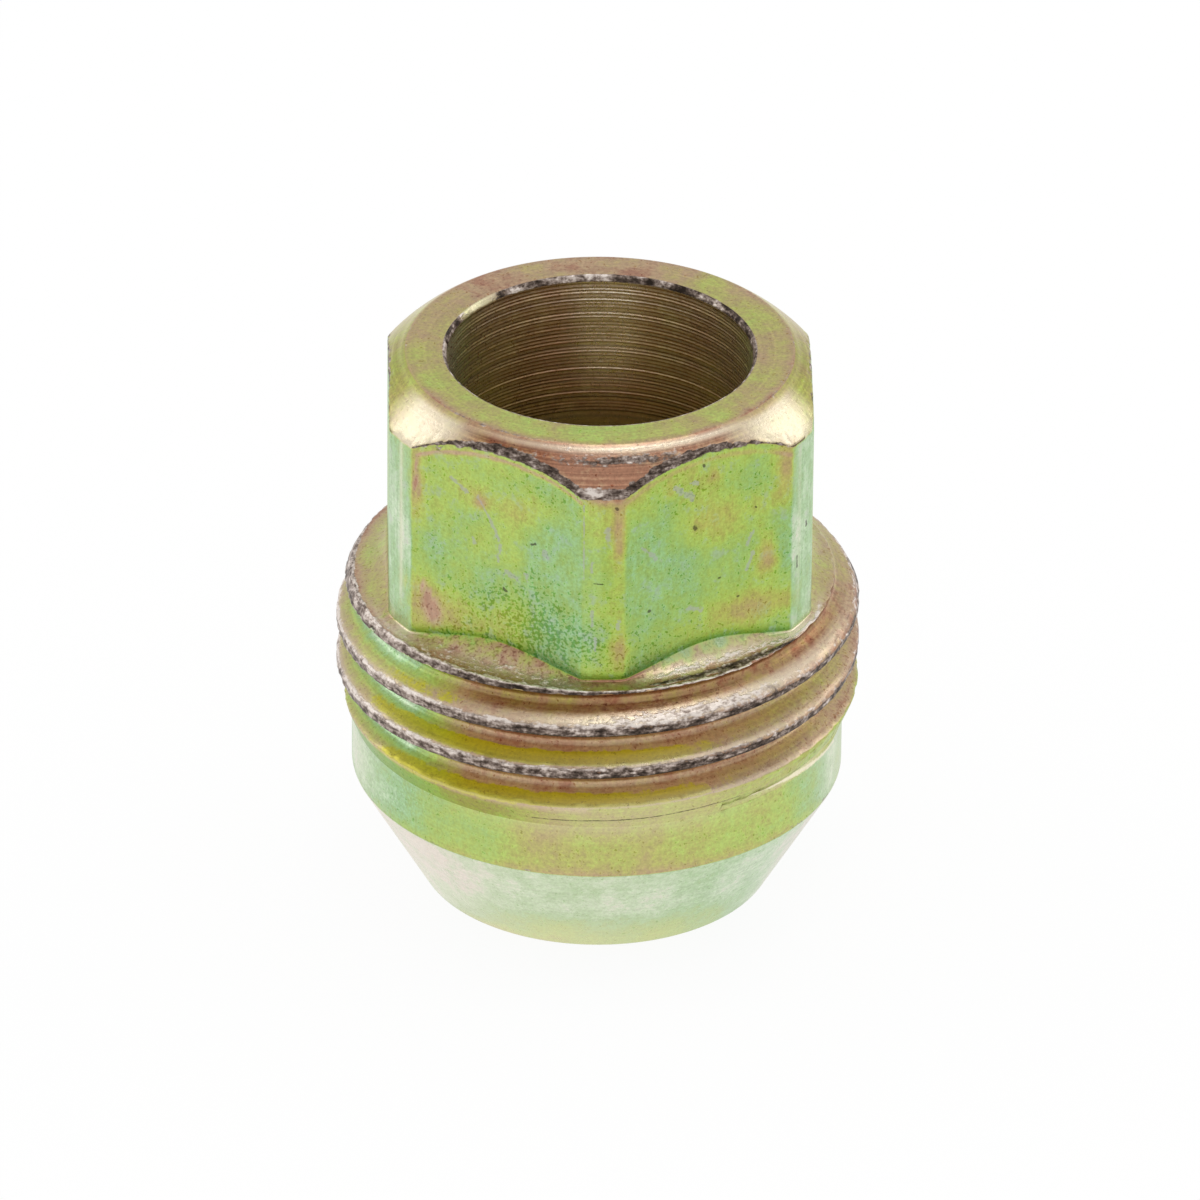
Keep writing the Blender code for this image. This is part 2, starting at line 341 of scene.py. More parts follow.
def inner_column(angle):
    """One column down the inside, from the bore's mouth to the seat end."""
    share = angle / math.tau
    mouth = COUNTERBORE_RADIUS + BORE_MOUTH
    column = [(("mouth", 0), mouth + 0.03, TOTAL_HEIGHT, 2.0),
              (("mouth", 1), mouth - 0.02, TOTAL_HEIGHT - 0.03, 5.0),
              (("mouth", 2), mouth - BORE_MOUTH * 0.35, TOTAL_HEIGHT - MOUTH_DROP * 0.33, 8.0),
              (("mouth", 3), mouth - BORE_MOUTH * 0.7, TOTAL_HEIGHT - MOUTH_DROP * 0.66, 12.0),
              (("mouth", 4), COUNTERBORE_RADIUS + 0.02, TOTAL_HEIGHT - MOUTH_DROP, 15.0)]
    start = TOTAL_HEIGHT - MOUTH_DROP - 0.08
    for mark, (drop, depth) in enumerate(MARKS):
        for step, cut in ((0.0, 0.0), (0.4, 0.2), (0.75, 1.0)):
            height = start - drop - TOOL_MARK_PITCH * step
            column.append((("bore", mark, step), COUNTERBORE_RADIUS + depth * cut, height,
                           15.0 + (start - height) * 20.0 + 1.0))
    height = start - TOOL_MARK_PITCH * TOOL_MARKS - 0.05
    column.append((("bore", "below_marks"), COUNTERBORE_RADIUS, height,
                   16.0 + (start - height) * 20.0))
    for step in (0.3, 0.6, 0.9):
        below = between(height, COUNTERBORE_FLOOR, step)
        column.append((("bore", "low", step), COUNTERBORE_RADIUS, below,
                       16.0 + (start - below) * 20.0))
    spot = 16.0 + (start - COUNTERBORE_FLOOR) * 20.0
    column.append((("bore", "floor"), COUNTERBORE_RADIUS - 0.03, COUNTERBORE_FLOOR, spot))
    for step in (0.2, 0.5, 0.8):
        radius = between(COUNTERBORE_RADIUS, SHOULDER_FOOT_RADIUS, step)
        column.append((("shoulder", step), radius,
                       COUNTERBORE_FLOOR - (COUNTERBORE_RADIUS - radius) * SHOULDER_SLOPE,
                       spot + 8.0 * step))
    shoulder_foot = (COUNTERBORE_FLOOR
                     - (COUNTERBORE_RADIUS - SHOULDER_FOOT_RADIUS) * SHOULDER_SLOPE)
    rows = []
    for number in range(-1, 15):
        centre = (number + share) * STUD_PITCH
        for place, offset in enumerate(STUD_ROWS):
            rows.append((("tap", number, place), centre + offset))
    rows = [row for row in rows if 0.45 < row[1] < shoulder_foot - 0.05]
    for label, height in sorted(rows, key=lambda row: -row[1]):
        column.append((label, stud_thread_radius(share, height), height,
                       spot + 10.0 + (shoulder_foot - height) * 9.0))
    column.append((("lead_in", "mid"), stud_thread_radius(share, 0.4), 0.4,
                   spot + 12.0 + shoulder_foot * 9.0))
    column.append((("lead_in", "low"), LEAD_IN_RADIUS - 0.04, 0.04,
                   spot + 20.0 + shoulder_foot * 9.0))
    column.append((("lead_in", "edge"), LEAD_IN_RADIUS + 0.03, 0.0,
                   spot + 22.0 + shoulder_foot * 9.0))
    return column


def column_angles():
    """Angles of the outer columns: closer together where a land meets a flat."""
    edge = math.degrees(LAND_HALF_TURN)
    close = (-1.2, -0.8, -0.4, 0.0, 0.4, 0.8)
    spots = [(edge - 1.2) * share for share in (0.0, 0.25, 0.5, 0.75)]
    spots += [edge + offset for offset in close]
    first, last = edge + 1.2, 60.0 - edge - 1.2
    spots += [between(first, last, step / 50.0) for step in range(50)]
    spots += [60.0 - edge + offset for offset in close]
    spots += [60.0 - (edge - 1.2) * share for share in (1.0, 0.75, 0.5, 0.25)]
    return [math.radians(60.0 * face + spot) for face in range(6) for spot in spots]


class Skin:
    """The growing mesh: points, faces, and where each face corner lies on the unrolled skin."""

    def __init__(self):
        self.points = []
        self.labels = []
        self.angles = []
        self.faces = []
        self.spots = []

    def column(self, angle, rows, base):
        """Adds a column of points and returns it as (label, point number, place up the skin)."""
        added = []
        for label, radius, height, place in rows:
            added.append((label, len(self.points), base + place))
            radius -= chip_depth(label, angle, radius, height)
            self.points.append((radius * math.sin(angle), -radius * math.cos(angle), height))
            self.labels.append(label)
            self.angles.append(angle)
        return added

    def face(self, corners):
        """A face from corners (point number, across, up)."""
        self.faces.append([corner[0] for corner in corners])
        self.spots.extend((corner[1], corner[2]) for corner in corners)

    def stitch(self, left, right, across_left, across_right, climb=0):
        """Faces between two neighbouring columns. Rows with the same label meet in a quad."""
        def renamed(label):
            if label[0] in ("groove", "tap"):
                return (label[0], label[1] - climb, label[2])
            return label

        def corner(column, row, across):
            return column[row][1], across, column[row][2]

        places = {renamed(label): j for j, (label, _, _) in enumerate(right)}
        anchors = []
        reached = -1
        for i, (label, _, _) in enumerate(left):
            j = places.get(label, -1)
            if j > reached:
                anchors.append((i, j))
                reached = j
        for (i, j), (next_i, next_j) in zip(anchors, anchors[1:]):
            while i < next_i or j < next_j:
                here = corner(left, i, across_left)
                there = corner(right, j, across_right)
                above = corner(left, i + 1, across_left) if i < next_i else None
                beyond = corner(right, j + 1, across_right) if j < next_j else None
                if next_i - i == 1 and next_j - j == 1:
                    self.face((here, there, beyond, above))
                    i, j = i + 1, j + 1
                    continue
                if self.gap(above, there) < self.gap(here, beyond):
                    self.face((here, there, above))
                    i += 1
                else:
                    self.face((here, there, beyond))
                    j += 1

    def gap(self, first, second):
        """Distance between two face corners, endless where one is missing."""
        if first is None or second is None:
            return math.inf
        return math.dist(self.points[first[0]], self.points[second[0]])


CHIPPED_ROWS = {("crown", "edge"): 0.09, ("wall", "top"): 0.05, ("crown", "side"): 0.07,
                ("crown", 1): 0.06, ("thread", "rim_side"): 0.07, ("fillet", "edge"): 0.09,
                ("fillet", 0): 0.05, ("mouth", 1): -0.05, ("mouth", 2): -0.05, ("mouth", 3): -0.03}
CHIPPED_PLACES = {0: 0.05, 1: 0.08, 2: 0.03, 12: 0.03, 13: 0.08, 14: 0.07, 15: 0.06, 16: 0.06,
                  17: 0.06}


def chip_depth(label, angle, radius, height):
    """How far knocks have taken a worn edge back: small ragged bites, none on a smooth face."""
    deepest = CHIPPED_ROWS.get(label, 0.0)
    if label[0] == "groove":
        deepest = CHIPPED_PLACES.get(label[2], 0.0)
    if deepest == 0.0:
        return 0.0
    place = Vector((radius * math.sin(angle), -radius * math.cos(angle), height))
    bite = noise.noise(place * 1.9) + 0.6 * noise.noise(place * 4.3 + Vector((7.0, 3.0, 1.0)))
    return deepest * min(max(bite * 1.6 + 0.15, 0.0), 1.0)


OUTER_TOP = 640.0
MARGIN = 0.004


def build_skin():
    """The whole nut as one closed shell."""
    skin = Skin()
    angles = column_angles()
    outer = [skin.column(angle, outer_column(angle), 0.0) for angle in angles]
    inner = [skin.column(angle, inner_column(angle), 0.0) for angle in angles[::3]]
    count = len(angles)
    turns = [angle / math.tau for angle in angles] + [1.0]
    for k in range(count):
        climb = 1 if k == count - 1 else 0
        skin.stitch(outer[k], outer[(k + 1) % count], turns[k], turns[k + 1], climb)
    for k in range(0, count, 3):
        climb = 1 if k == count - 3 else 0
        near, far = inner[k // 3], inner[(k // 3 + 1) % len(inner)]
        skin.stitch(near, far, turns[k] + 2.0, turns[k + 3] + 2.0, climb)
        ring = [outer[(k + step) % count] for step in range(4)]
        lips = [(ring[step][-1][1], turns[k + step], OUTER_TOP) for step in range(4)]
        mouth = [(near[0][1], turns[k], OUTER_TOP + 8.0), (far[0][1], turns[k + 3], OUTER_TOP + 8.0)]
        skin.face((lips[0], lips[1], mouth[0]))
        skin.face((lips[1], lips[2], mouth[1], mouth[0]))
        skin.face((lips[2], lips[3], mouth[1]))
        feet = [(ring[step][0][1], turns[k + step], 2.0) for step in range(4)]
        edge = [(near[-1][1], turns[k], -6.0), (far[-1][1], turns[k + 3], -6.0)]
        skin.face((edge[0], feet[1], feet[0]))
        skin.face((edge[0], edge[1], feet[2], feet[1]))
        skin.face((edge[1], feet[3], feet[2]))
    return skin


def bell(distance, width):
    return np.exp(-(distance / width) ** 2)


def rise(value, first, last):
    """0 up to first, 1 from last on, smooth between."""
    share = np.clip((value - first) / (last - first), 0.0, 1.0)
    return share * share * (3.0 - 2.0 * share)


def around(angle, *stops):
    """A value that runs round the nut through (angle, value) stops."""
    return np.interp(angle, *zip(*stops), period=360.0)


def across_groove(place, stops):
    """A value that runs across a thread groove through (place, value) stops."""
    return np.interp(place, *zip(*stops))


def apart(angle, centre, radius):
    """Distance round the nut from an angle, along the surface."""
    turn = (angle - centre + 180.0) % 360.0 - 180.0
    return np.radians(turn) * radius


# Plating patches on the two front flats: angle, height, half width, half height, change of film
FLAT_PATCHES = (
    (-19.0, 27.2, 2.0, 0.8, -0.10), (-46.0, 27.5, 2.5, 2.5, -0.05), (-9.5, 24.0, 1.9, 4.5, 0.19),
    (-15.0, 24.5, 1.5, 2.2, 0.06), (-40.0, 22.5, 3.0, 1.8, 0.06), (-42.0, 20.0, 2.0, 0.9, -0.04),
    (-22.0, 20.0, 2.0, 1.2, -0.08), (-51.0, 19.8, 1.2, 1.2, -0.20), (-53.5, 26.0, 0.5, 3.0, -0.16),
    (-35.0, 26.7, 0.5, 0.4, -0.30), (-38.0, 19.0, 1.6, 0.5, -0.08), (-30.0, 28.0, 1.6, 0.6, 0.06),
    (22.0, 28.9, 3.0, 1.0, -0.10), (30.0, 19.9, 2.5, 1.0, -0.10), (13.0, 22.5, 2.6, 3.6, 0.13),
    (25.0, 23.0, 2.0, 1.5, 0.06), (30.0, 26.0, 1.8, 2.4, -0.10), (48.1, 22.8, 0.6, 1.0, -0.30),
    (52.8, 27.5, 0.6, 2.2, -0.26), (46.0, 19.9, 2.0, 0.8, -0.22), (53.0, 23.5, 0.8, 2.0, 0.20),
    (17.5, 28.3, 0.5, 0.4, -0.22), (31.5, 28.4, 0.4, 0.4, -0.18), (46.0, 26.0, 1.0, 0.8, -0.14),
    (3.7, 26.0, 0.28, 2.2, -0.26), (4.2, 19.5, 0.5, 1.0, -0.22), (0.0, 28.5, 1.0, 0.35, -0.34),
    (-1.0, 22.5, 1.0, 1.2, -0.06), (0.0, 24.5, 1.2, 1.0, 0.05), (-12.0, 20.4, 2.4, 2.6, 0.10),
)

# Mauve stain that runs down the left flat to a spot: angle, height
STAIN = ((-57.0, 20.7), (-52.0, 20.95), (-50.1, 20.25), (-49.0, 19.6), (-48.2, 19.0))

# Film across a thread groove, from the crest below (-1) past the root (0) to the crest above (1)
GROOVE_LEFT = ((-1.0, 0.12), (-0.78, 0.08), (-0.74, 0.14), (-0.63, 0.32), (-0.50, 0.40),
               (-0.38, 0.60), (-0.25, 0.80), (0.0, 0.86), (0.6, 0.84), (0.8, 0.3), (1.0, 0.3))
GROOVE_FRONT = ((-1.0, 0.03), (-0.78, 0.05), (-0.74, 0.08), (-0.63, 0.16), (-0.38, 0.14),
                (-0.25, 0.08), (0.0, 0.08), (0.25, 0.10), (0.6, 0.20), (0.8, 0.2), (1.0, 0.05))
GROOVE_RIGHT = ((-1.0, 0.04), (-0.78, 0.06), (-0.74, 0.08), (-0.63, 0.12), (-0.50, 0.20),
                (-0.38, 0.22), (-0.25, 0.16), (0.0, 0.10), (0.25, 0.10), (0.6, 0.2), (1.0, 0.06))
GROOVE_BACK = ((-1.0, 0.05), (-0.6, 0.2), (-0.2, 0.45), (0.1, 0.6), (0.6, 0.5), (1.0, 0.2))

# Golden olive across a groove, where the film is at its deepest colour
GOLDEN = ((-0.78, 0.0), (-0.74, 0.4), (-0.70, 1.0), (-0.50, 1.0), (-0.38, 0.7), (-0.25, 0.0),
          (1.0, 0.0))


class Paint:
    """What the plating is like at each point of the skin."""
    # pale is paler plating in some places and a painted highlight in others; worn is worn bare metal,
    # and in a few places a painted glint
    NAMES = ("film", "pale", "worn", "chips", "harsh", "speckle", "deep", "gold", "drawn", "lathe")

    def __init__(self, skin):
        points = np.array(skin.points)
        self.angle = (np.degrees(np.array(skin.angles)) + 180.0) % 360.0 - 180.0
        self.height = points[:, 2]
        self.radius = np.hypot(points[:, 0], points[:, 1])
        self.zone = np.array([label[0] for label in skin.labels])
        self.wall = np.array([wall_radius(angle) for angle in skin.angles])
        self.cut = np.array([1.0 * (label[0] == "bore" and label[-1] == 0.4)
                             for label in skin.labels])
        for name in self.NAMES:
            setattr(self, name, np.zeros(len(points)))
        self.patchy = np.array([noise.noise(Vector(point) * 0.45) for point in skin.points])
        self.ragged = np.array([noise.noise(Vector(point) * 1.7) for point in skin.points])
        for part in (self.top, self.crown, self.flats, self.fillet, self.thread, self.band,
                     self.cone, self.stud_hole):
            part()

    def near(self, centre, radius, width):
        """1 at an angle of the nut, fading out along the surface on both sides of it."""
        return bell(apart(self.angle, centre, radius), width)

    def lay(self, on, **values):
        """Sets painted values on part of the skin."""
        for name, value in values.items():
            getattr(self, name)[on] = np.broadcast_to(value, self.angle.shape)[on]

    def top(self):
        angle = self.angle
        film = around(angle, (-180, 0.08), (-160, 0.11), (-135, 0.17), (-110, 0.23), (-85, 0.30),
                      (-60, 0.34), (-30, 0.38), (0, 0.42), (30, 0.36), (60, 0.31), (90, 0.24),
                      (112, 0.32), (128, 0.15), (142, 0.30), (150, 0.17), (165, 0.10))
        outer = bell(self.radius - TOP_RADIUS - 0.02, 0.16)
        hurt = around(angle, (-180, 0.35), (-100, 0.5), (-62, 0.4), (-48, 0.9), (-20, 0.85),
                      (-8, 0.4), (20, 0.3), (35, 0.6), (55, 0.75), (80, 0.7), (120, 0.5))
        copper = around(angle, (-180, 0.1), (-100, 0.4), (-40, 0.9), (0, 1.0), (40, 0.9), (100, 0.5))
        film = film + 0.16 * self.patchy + 0.06 * self.ragged - 0.30 * outer * copper
        self.lay(self.zone == "top", film=film, worn=0.5 * outer * hurt,
                 chips=0.45 + 0.15 * outer, harsh=0.3, speckle=0.12, lathe=0.2, pale=0.02)
        # The mouth's chamfer is scuffed bright and badly chipped at the back and right
        chips = around(angle, (-180, 0.15), (-164, 0.5), (-152, 0.5), (-142, 0.3), (-125, 0.1),
                       (-112, 0.4), (-95, 0.45), (-60, 0.3), (0, 0.2), (60, 0.35), (90, 0.45),
                       (110, 0.55), (128, 0.75), (150, 0.75), (160, 0.7), (170, 0.25))
        cream = self.near(-128, 8.2, 2.0)
        self.lay(self.zone == "mouth", film=0.10 + 0.3 * cream, worn=1.0 - 0.9 * cream,
                 chips=np.clip(chips + 0.9 * self.ragged, 0.0, 1.0), harsh=0.35,
                 pale=0.6 * cream)

    def crown(self):
        angle = self.angle
        edge = self.wall - self.radius
        inner = self.radius - TOP_RADIUS
        band = around(angle, (-180, 0.30), (-150, 0.25), (-120, 0.08), (-90, 0.08), (-66, 0.02),
                      (-56, 0.03), (-46, 0.10), (-38, 0.18), (-22, 0.27), (-6, 0.18), (6, 0.20),
                      (22, 0.24), (36, 0.15), (46, 0.08), (56, 0.03), (66, 0.02), (90, 0.08),
                      (120, 0.08), (150, 0.25))
        film = around(angle, (-180, 0.08), (-150, 0.04), (-135, 0.2), (-120, 0.3), (-105, 0.3),
                      (-72, 0.33), (-62, 0.26), (-48, 0.24), (-42, 0.13), (-34, 0.03), (0, 0.0),
                      (32, 0.03), (40, 0.14), (47, 0.22), (62, 0.26), (72, 0.33), (105, 0.3),
                      (120, 0.3), (135, 0.2), (150, 0.04))
        # Painted highlight, on top of the lamps' real reflections: cream on the side corners, a
        # pink-white line just below the top face's edge (line) and a glint at the front tip (glint);
        # line and glint also lighten the bare metal's tone
        cream = around(angle, (-72, 0.0), (-67, 0.35), (-62, 0.7), (-48, 0.7), (-42, 0.3),
                       (-36, 0.0), (34, 0.0), (42, 0.4), (48, 0.7), (62, 0.7), (67, 0.35),
                       (72, 0.0), (100, 0.0), (120, 0.3), (140, 0.0), (-140, 0.0), (-120, 0.3),
                       (-100, 0.0))
        cream *= rise(inner, 0.15, 0.5)
        line = bell(inner - 0.26, 0.15) * around(angle, (-50, 0.0), (-30, 0.45), (-12, 0.85),
                                                 (0, 1.0), (34, 1.0), (44, 0.4), (50, 0.0),
                                                 (150, 0.4), (-150, 0.4))
        scuffed = (bell(inner - 0.74, 0.26)
                   * around(angle, (-34, 0.0), (-16, 0.5), (-6, 0.8), (0, 1.0), (14, 0.9),
                            (24, 0.5), (32, 0.0), (150, 0.4), (-150, 0.4)))
        ragged = 0.10 * self.ragged
        broken = 1.0 - rise(edge, band * 0.8 + ragged, band * 1.2 + 0.05 + ragged)
        soft = around(angle, (-60, 0.6), (-40, 0.85), (-24, 1.0), (24, 1.0), (42, 0.8), (60, 0.6),
                      (120, 0.6), (180, 0.9), (-120, 0.6))
        glint = self.near(-1.6, LAND_RADIUS, 0.7) * bell(edge - 0.16, 0.14)
        brown = rise(angle, -46.0, -38.0) * (1.0 - rise(angle, -22.0, -8.0))
        rim = bell(inner, 0.12) * around(angle, (-66, 0.2), (-48, 0.9), (-20, 0.6), (0, 0.2),
                                         (40, 0.5), (60, 0.6), (120, 0.3))
        worn = np.maximum.reduce([0.72 * scuffed, broken * soft, 0.3 * line, 0.5 * rim])
        tone = (0.58 + 0.3 * self.ragged - 0.50 * line - 0.02 * scuffed - 0.6 * glint
                - 0.25 * rise(np.abs(angle), 66.0, 90.0))
        self.lay(self.zone == "crown", film=film + 0.05 * self.patchy,
                 pale=np.clip(cream * (1.0 - broken) + 0.75 * line, 0.0, 1.0),
                 worn=np.maximum(worn, glint), harsh=0.3,
                 chips=np.clip(tone, 0.0, 1.0), lathe=np.where(np.abs(angle) < 42.0, 1.1, 0.4),
                 deep=0.3 * brown * bell(inner - 0.5, 0.5) + 0.15 * bell(np.abs(angle) - 88.0, 18.0),
                 speckle=0.15 * (cream > 0.2))

    def flats(self):
        angle, height = self.angle, self.height
        face = np.floor(angle / 60.0)
        turn = angle - 60.0 * face - 30.0
        across = FLAT_RADIUS * np.tan(np.radians(turn))
        land = rise(np.abs(turn), 24.35, 24.9)
        below = crown_height(self.wall) - height
        above = height - fillet_height(self.wall)
        film = np.choose((face + 3).astype(int), (0.47, 0.66, 0.53, 0.56, 0.62, 0.42))
        corner = np.round(angle / 60.0).astype(int)
        land_film = np.choose(corner + 3, (0.5, 0.55, 0.80, 0.44, 0.78, 0.6, 0.5))
        film = film + (land_film - film) * land + 0.10 * self.patchy
        for spot, level, width, reach, change in FLAT_PATCHES:
            patch = self.near(spot, FLAT_RADIUS * 1.03, width) * bell(height - level, reach)
            film += 1.2 * change * patch
        front = (angle > -66.0) & (angle < 66.0)
        side_land = land * (np.abs(corner) == 1)
        # A mauve line keeps a constant distance from the scalloped edge of the left flat
        contour = np.minimum(below - 0.46, across + FLAT_HALF_WIDTH - 0.34 + 0.15 * self.ragged)
        line = (bell(contour + 0.08 * self.ragged, 0.12) * (1.0 - land) * (face == -1)
                * rise(height, 25.5, 27.0))
        line += 0.45 * bell(below - 0.5, 0.12) * (1.0 - land) * (face != -1)
        stain = np.zeros_like(angle)
        for (first, low), (last, high) in zip(STAIN, STAIN[1:]):
            for share in (0.0, 0.34, 0.67, 1.0):
                spot, level = between(first, last, share), between(low, high, share)
                size = 0.16 if level > 19.7 else 0.40
                stain = np.maximum(stain, bell(np.hypot(apart(angle, spot, 11.6),
                                                        height - level), size))
        film = np.minimum(film, 0.70 + 0.2 * land) - 0.42 * line - 0.4 * stain
        thick = around(angle, (-62, 0.02), (-40, 0.07), (-20, 0.11), (-4, 0.15), (4, 0.16),
                       (20, 0.12), (40, 0.07), (62, 0.02), (90, 0.06), (120, 0.06), (180, 0.2),
                       (-120, 0.06), (-90, 0.12))
        broken = 1.0 - rise(below + 0.06 * self.ragged, thick * 0.75, thick * 1.35 + 0.05)
        cluster = bell(np.hypot(apart(angle, -47.4, 11.5), height - 29.1), 0.3)
        glow = (self.near(-58.9, LAND_RADIUS, 0.17)
                + 0.5 * self.near(57.6, LAND_RADIUS, 0.14)) * rise(above, 0.6, 2.5)
        # Painted shade: a darker, deeper-coloured line where the wall's root meets the fillet
        root_shade = bell(above - 0.05, 0.3) * (1.0 - side_land)
        dots = (0.06 + 0.3 * self.patchy
                + 0.85 * self.near(-18.0, FLAT_RADIUS, 4.6) * bell(height - 20.4, 2.4)
                + 0.35 * self.near(-14.0, FLAT_RADIUS, 2.4) * bell(height - 28.0, 0.9)
                + 0.55 * self.near(24.0, FLAT_RADIUS, 1.6) * bell(height - 27.6, 1.0)
                + 0.30 * self.near(50.0, FLAT_RADIUS, 1.4) * bell(height - 22.0, 1.4)
                + 0.25 * bell(height - 18.8, 1.0))
        self.lay(self.zone == "wall", film=film + 0.10 * root_shade, drawn=0.7 + 0.1 * land,
                 pale=np.clip(0.4 * glow + 0.12 * side_land + 0.1 * line + 0.2 * stain, 0.0, 1.0),
                 worn=np.clip(np.maximum(broken, 0.6 * cluster), 0.0, 1.0),
                 chips=0.58 + 0.25 * self.ragged, harsh=0.35,
                 speckle=np.clip(dots, 0.0, 1.0) * (1.0 - 0.75 * side_land) * np.where(front, 1, 0.8),
                 deep=0.45 * root_shade + 0.06 * (face == 0))

    def fillet(self):
        angle = self.angle
        out = np.clip((self.radius - self.wall) / (RIM_RADIUS - self.wall), 0.0, 1.0)
        root = around(angle, (-180, 0.3), (-130, 0.4), (-90, 0.30), (-66, 0.30), (-56, 0.30),
                      (-46, 0.36), (-25, 0.34), (-12, 0.30), (-2, 0.05), (6, 0.10), (16, 0.5),
                      (36, 0.55), (46, 0.45), (56, 0.32), (66, 0.34), (90, 0.34), (130, 0.36))
        middle = around(angle, (-180, 0.15), (-90, 0.30), (-66, 0.28), (-54, 0.12), (-44, 0.24),
                        (-22, 0.12), (-8, 0.03), (8, 0.03), (20, 0.20), (34, 0.30), (44, 0.20),
                        (56, 0.12), (66, 0.26), (110, 0.28))
        film = np.where(out < 0.5, root + (middle - root) * out * 2.0,
                        middle + (0.02 - middle) * rise(out, 0.5, 0.95))
        right = rise(angle, 4.0, 18.0) * (1.0 - rise(angle, 62.0, 80.0))
        left = rise(angle, -80.0, -60.0) * (1.0 - rise(angle, -6.0, 4.0))
        root_cream = (self.near(-57.0, 12.2, 0.9) + self.near(57.0, 12.2, 1.2))
        film += (np.where(np.abs(angle) < 66.0, 0.45, 0.05) * self.ragged
                 - 0.10 * right * rise(out, 0.1, 0.4) - 0.12 * left * bell(out - 0.62, 0.22))
        streak = bell(out - 0.42 - 0.1 * self.ragged, 0.13) * right
        chipped = bell(out - 0.72 - 0.06 * self.ragged, 0.10) * right
        # Painted highlight along the rim's top edge (bright), laid on worn bare metal there
        bright = bell(out - 0.90, 0.07) * (0.5 + 0.5 * right)
        worn = np.maximum.reduce([0.34 * left * rise(out, 0.1, 0.5), 0.6 * streak, chipped,
                                  rise(out, 0.84, 0.94) * np.maximum(right, 0.8)])
        # deep darkens the fillet along the hexagon's root: painted shade in that crease
        self.lay(self.zone == "fillet", film=film + 0.12 * self.patchy,
                 pale=np.clip(0.6 * root_cream * (1 - out) + 0.5 * streak
                              + 0.2 * right * (1.0 - rise(out, 0.3, 0.5))
                              + 0.3 * left * bell(out - 0.62, 0.22) + 0.08, 0.0, 1.0),
                 worn=np.clip(worn, 0.0, 1.0), harsh=0.5,
                 chips=np.clip(0.34 - 0.12 * left + 0.3 * self.ragged + 0.35 * chipped - 0.4 * bright
                               - 0.3 * streak, 0.0, 1.0),
                 speckle=0.25 + 0.4 * left + 0.4 * right,
                 deep=0.25 * bell(out, 0.12) * (np.abs(angle) < 50))

    def thread(self):
        angle, height = self.angle, self.height
        share = (angle / 360.0) % 1.0
        number = np.round((height - FIRST_GROOVE) / PITCH - share)
        turns = share + number
        place = (height - FIRST_GROOVE - PITCH * turns) / (PITCH / 2.0)
        profiles = [across_groove(place, stops)
                    for stops in (GROOVE_LEFT, GROOVE_FRONT, GROOVE_RIGHT, GROOVE_BACK)]
        weights = [around(angle, (-180, 0), (-110, 0.6), (-80, 1), (-52, 1), (-34, 0), (180, 0)),
                   around(angle, (-180, 0), (-52, 0), (-34, 1), (18, 1), (42, 0), (180, 0)),
                   around(angle, (-180, 0), (18, 0), (42, 1), (86, 1), (110, 0.4), (180, 0))]
        weights.append(1.0 - sum(weights))
        film = sum(profile * weight for profile, weight in zip(profiles, weights))
        blank = np.array([blank_radius(level) for level in height])
        across = place - np.where(place < 0.0, -1.0, 1.0)
        fading = 1.0 - rise(turns, LOWEST_TURN + 0.2, LOWEST_TURN + 0.8)
        unrolled = rise(self.radius, blank - 0.1, blank - 0.04)
        crest = np.maximum(1.0 - rise(np.abs(across), 0.22, 0.29),
                           unrolled * np.maximum(height > RIM_LOW, fading))
        # Below the lowest groove the blank is left as it was turned
        full = rise(turns - (place < 0.0), LOWEST_TURN + 0.15, LOWEST_TURN + 0.5)
        foot = np.where(turns < LOWEST_TURN, 1.0,
                        np.maximum(crest * (1.0 - full),
                                   1.0 - rise(turns - LOWEST_TURN, 0.10, 0.34)))
        crest = crest * (1.0 - foot)
        first = (np.abs(turns) < 0.5) * 1.0
        # Painted highlight: pink-white on the upward-facing flanks at the front right and along each
        # flank's top edge, where the overhead lamp also reflects
        front_right = self.near(16.0, 13.5, 8.0)
        flank = bell(place + 0.62, 0.15)
        pale = flank * front_right * (0.95 * first + 0.35 * (1.0 - first))
        pale += 0.3 * flank * first * self.near(55.0, 13.5, 6.0)
        pale = np.maximum(pale, bell(place + 0.74, 0.08)
                          * around(angle, (-110, 0.0), (-76, 0.5), (-46, 0.3), (-16, 0.3),
                                   (0, 0.6), (30, 0.6), (60, 0.3), (100, 0.0)))
        # The top groove has lost its olive from the front on
        bare = first * rise(angle, -38.0, -26.0) * (1.0 - rise(angle, 60.0, 90.0))
        film = film + (0.11 - film) * 0.9 * bare * (np.abs(place) < 0.7)
        gold = (across_groove(place, GOLDEN)
                * around(angle, (-180, 0.0), (-74, 0.0), (-62, 0.45), (-50, 0.8), (-20, 1.0),
                         (6, 0.9), (24, 0.55), (44, 0.2), (60, 0.0), (95, 0.0))
                * (1.0 - bare) * (1.0 - 0.35 * first))
        roof = bell(place - 0.5, 0.25) * (1.0 - bare) * (1.0 - foot)
        foot_film = around(angle, (-90, 0.7), (-62, 0.62), (-44, 0.52), (-30, 0.42), (-18, 0.34),
                           (14, 0.34), (30, 0.38), (44, 0.42), (70, 0.45), (110, 0.4), (180, 0.35))
        film = film + (foot_film - film) * foot
        rim = rise(height, RIM_LOW + 0.25, RIM_LOW + 0.8) * (place > 0.2)
        # Crest tone over real chipping: the upper half paler as a painted highlight, the lower half
        # darker as painted shade
        upper = rise(across, 0.10, 0.22)
        lower = rise(-across, 0.12, 0.24)
        lean = around(angle, (-90, 0.1), (-56, 0.1), (-30, 0.2), (0, 0.3), (20, 0.45), (70, 0.7),
                      (120, 0.3))
